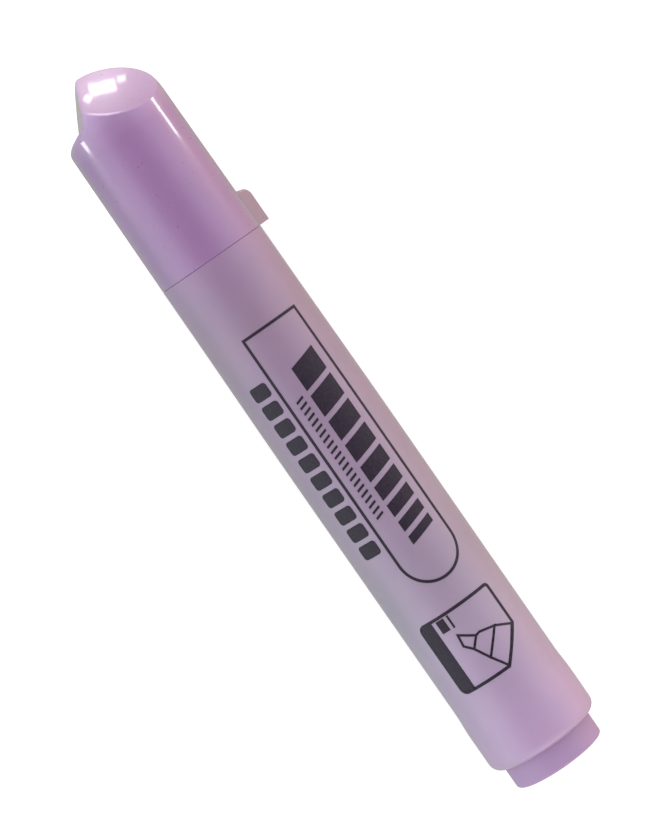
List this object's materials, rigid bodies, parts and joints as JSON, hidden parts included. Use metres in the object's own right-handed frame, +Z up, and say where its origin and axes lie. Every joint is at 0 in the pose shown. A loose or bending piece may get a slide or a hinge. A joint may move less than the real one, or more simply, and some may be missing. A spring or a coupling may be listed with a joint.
{
  "type": "highlighter pen",
  "caption": "Capped chisel-nib highlighter with a round barrel, a domed and faceted pull-off cap with a flexing pocket clip, and a rear plug.",
  "frame": {"origin": "centre of the rear plug's flat end face", "axes": "+X along the pen from the rear plug towards the cap, +Z up for the pen lying down with its printed side up and its clip's lug on the table"},
  "size_m": [0.1144, 0.0181, 0.0168],
  "materials": {
    "barrel": "satin moulded polypropylene, lilac, with black printed marks",
    "plug": "satin moulded polypropylene, slightly deeper lilac",
    "section": "smooth moulded polypropylene, pale",
    "nib": "bonded fibre soaked with lilac ink",
    "reservoir": "bundled fibre soaked with lilac ink",
    "film": "clear thin film",
    "cap": "glossy translucent moulded polypropylene, lilac",
    "inner_cap": "pale soft polyethylene",
    "clip": "glossy moulded polypropylene, lilac"
  },
  "bodies": {
    "pen": {"barrel": "barrel", "rear_plug": "plug", "front_section": "section", "nib": "nib", "ink_reservoir": "reservoir", "reservoir_film": "film"},
    "cap": {"cap_shell": "cap", "inner_cap": "inner_cap"},
    "clip": {"pocket_clip": "clip"}
  },
  "joints": [
    {"name": "cap_pull", "type": "slide", "parent": "pen", "child": "cap", "axis": [1, 0, 0], "range_m": [0, 0.03]},
    {"name": "clip_flex", "type": "hinge", "parent": "cap", "child": "clip", "pos_m": [0.10417, -0.00659, -0.00524], "axis": [0, -0.6225, 0.7826], "range_deg": [0, 5], "stiffness_Nm_per_rad": 0.9}
  ]
}
